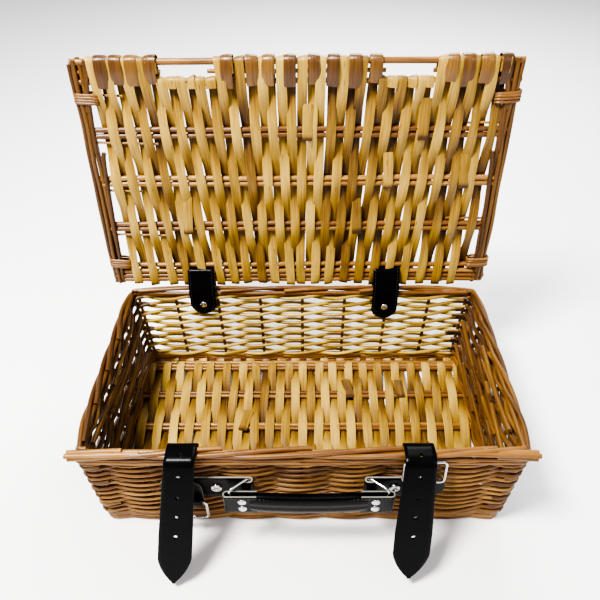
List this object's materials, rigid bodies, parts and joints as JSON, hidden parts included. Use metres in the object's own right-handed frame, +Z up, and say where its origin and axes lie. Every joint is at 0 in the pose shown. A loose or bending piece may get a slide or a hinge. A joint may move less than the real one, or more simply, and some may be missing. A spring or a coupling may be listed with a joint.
{
  "type": "wicker picnic basket",
  "caption": "Rectangular woven willow hamper with a hinged lid, leather fastening straps with buckles, and a leather carrying handle on wire rings.",
  "frame": {"origin": "middle of the floor's underside", "axes": "+X to the right along the basket's length, +Y to the back where the lid is hinged, +Z up"},
  "size_m": [0.412, 0.3168, 0.3602],
  "materials": {
    "split_willow": "satin split willow, pale straw",
    "willow_rod": "varnished whole willow, honey brown",
    "black_leather": "semi-gloss, stitched",
    "plated_steel": "polished nickel plate"
  },
  "bodies": {
    "basket": {"floor_weave": "split_willow", "floor_rod_pair_1": "willow_rod", "floor_rod_pair_2": "willow_rod", "floor_rod_pair_3": "willow_rod", "floor_rod_pair_4": "willow_rod", "floor_rod_pair_5": "willow_rod", "wall_front": "split_willow", "wall_back": "split_willow", "wall_left": "split_willow", "wall_right": "split_willow", "rim_front": "willow_rod", "rim_back": "willow_rod", "rim_left": "willow_rod", "rim_right": "willow_rod", "corner_stake_front_left": "willow_rod", "corner_stake_front_right": "willow_rod", "corner_stake_back_left": "willow_rod", "corner_stake_back_right": "willow_rod", "hinge_inner_leaf_left": "black_leather", "hinge_inner_leaf_right": "black_leather", "hinge_outer_leaf_left": "black_leather", "hinge_outer_leaf_right": "black_leather", "hinge_rivet_left": "plated_steel", "hinge_rivet_right": "plated_steel", "strap_anchor_left": "black_leather", "strap_anchor_right": "black_leather", "strap_rivet_left": "plated_steel", "strap_rivet_right": "plated_steel", "handle_chape_left": "black_leather", "handle_chape_right": "black_leather", "chape_eyelet_left": "plated_steel", "chape_eyelet_right": "plated_steel"},
    "lid": {"lid_weave": "split_willow", "lid_back_rod_pair": "willow_rod", "lid_cross_rod_pair_1": "willow_rod", "lid_cross_rod_pair_2": "willow_rod", "lid_cross_rod_pair_3": "willow_rod", "lid_front_rod_inner": "willow_rod", "lid_front_rod_outer": "willow_rod", "lid_side_bundle_left": "willow_rod", "lid_side_bundle_right": "willow_rod", "hinge_loop_left": "black_leather", "hinge_loop_right": "black_leather"},
    "handle": {"handle_strip": "black_leather", "grip_cover": "black_leather", "handle_rivet_upper_left": "plated_steel", "handle_rivet_upper_right": "plated_steel", "handle_rivet_lower_left": "plated_steel", "handle_rivet_lower_right": "plated_steel"},
    "ring_left": {"handle_ring_left": "plated_steel"},
    "strap_left": {"strap_tail_left": "black_leather"},
    "tab_left": {"buckle_tab_left": "black_leather"},
    "buckle_left": {"buckle_frame_left": "plated_steel"},
    "prong_left": {"buckle_prong_left": "plated_steel"},
    "ring_right": {"handle_ring_right": "plated_steel"},
    "strap_right": {"strap_tail_right": "black_leather"},
    "tab_right": {"buckle_tab_right": "black_leather"},
    "buckle_right": {"buckle_frame_right": "plated_steel"},
    "prong_right": {"buckle_prong_right": "plated_steel"}
  },
  "joints": [
    {"name": "lid_hinge", "type": "hinge", "parent": "basket", "child": "lid", "pos_m": [0, 0.1135, 0.124], "axis": [1, 0, 0], "range_deg": [0, 96.5]},
    {"name": "strap_left_swing", "type": "hinge", "parent": "basket", "child": "strap_left", "pos_m": [-0.103, -0.1195, 0.1184], "axis": [-1, 0, 0], "range_deg": [0, 85]},
    {"name": "strap_right_swing", "type": "hinge", "parent": "basket", "child": "strap_right", "pos_m": [0.103, -0.1195, 0.1184], "axis": [-1, 0, 0], "range_deg": [0, 85]},
    {"name": "handle_pull", "type": "slide", "parent": "basket", "child": "handle", "axis": [0, -1, 0], "range_m": [-0.0028, 0.0026]},
    {"name": "ring_left_turn", "type": "hinge", "parent": "basket", "child": "ring_left", "pos_m": [-0.0465, -0.1154, 0.068], "axis": [0, 0, 1], "range_deg": [-9.8, 9.2]},
    {"name": "ring_right_turn", "type": "hinge", "parent": "basket", "child": "ring_right", "pos_m": [0.0585, -0.1154, 0.068], "axis": [0, 0, -1], "range_deg": [-9.8, 9.2]},
    {"name": "buckle_left_swivel", "type": "hinge", "parent": "basket", "child": "tab_left", "pos_m": [-0.103, -0.1143, 0.0665], "axis": [0, 1, 0], "range_deg": [0, 125]},
    {"name": "buckle_right_swivel", "type": "hinge", "parent": "basket", "child": "tab_right", "pos_m": [0.103, -0.1143, 0.0665], "axis": [0, 1, 0], "range_deg": [0, 170]},
    {"name": "buckle_left_tilt", "type": "hinge", "parent": "tab_left", "child": "buckle_left", "pos_m": [-0.103, -0.1179, 0.0495], "axis": [-1, 0, 0], "range_deg": [0, 60]},
    {"name": "buckle_right_tilt", "type": "hinge", "parent": "tab_right", "child": "buckle_right", "pos_m": [0.103, -0.1179, 0.0835], "axis": [1, 0, 0], "range_deg": [0, 5]},
    {"name": "prong_left_lift", "type": "hinge", "parent": "buckle_left", "child": "prong_left", "pos_m": [-0.103, -0.1179, 0.0495], "axis": [-1, 0, 0], "range_deg": [0, 50]},
    {"name": "prong_right_lift", "type": "hinge", "parent": "buckle_right", "child": "prong_right", "pos_m": [0.103, -0.1179, 0.0835], "axis": [1, 0, 0], "range_deg": [0, 5]}
  ],
  "couplings": [
    {"joint": "ring_left_turn", "follows": "handle_pull", "rad_per_m": 59.6},
    {"joint": "ring_right_turn", "follows": "handle_pull", "rad_per_m": 59.6}
  ]
}
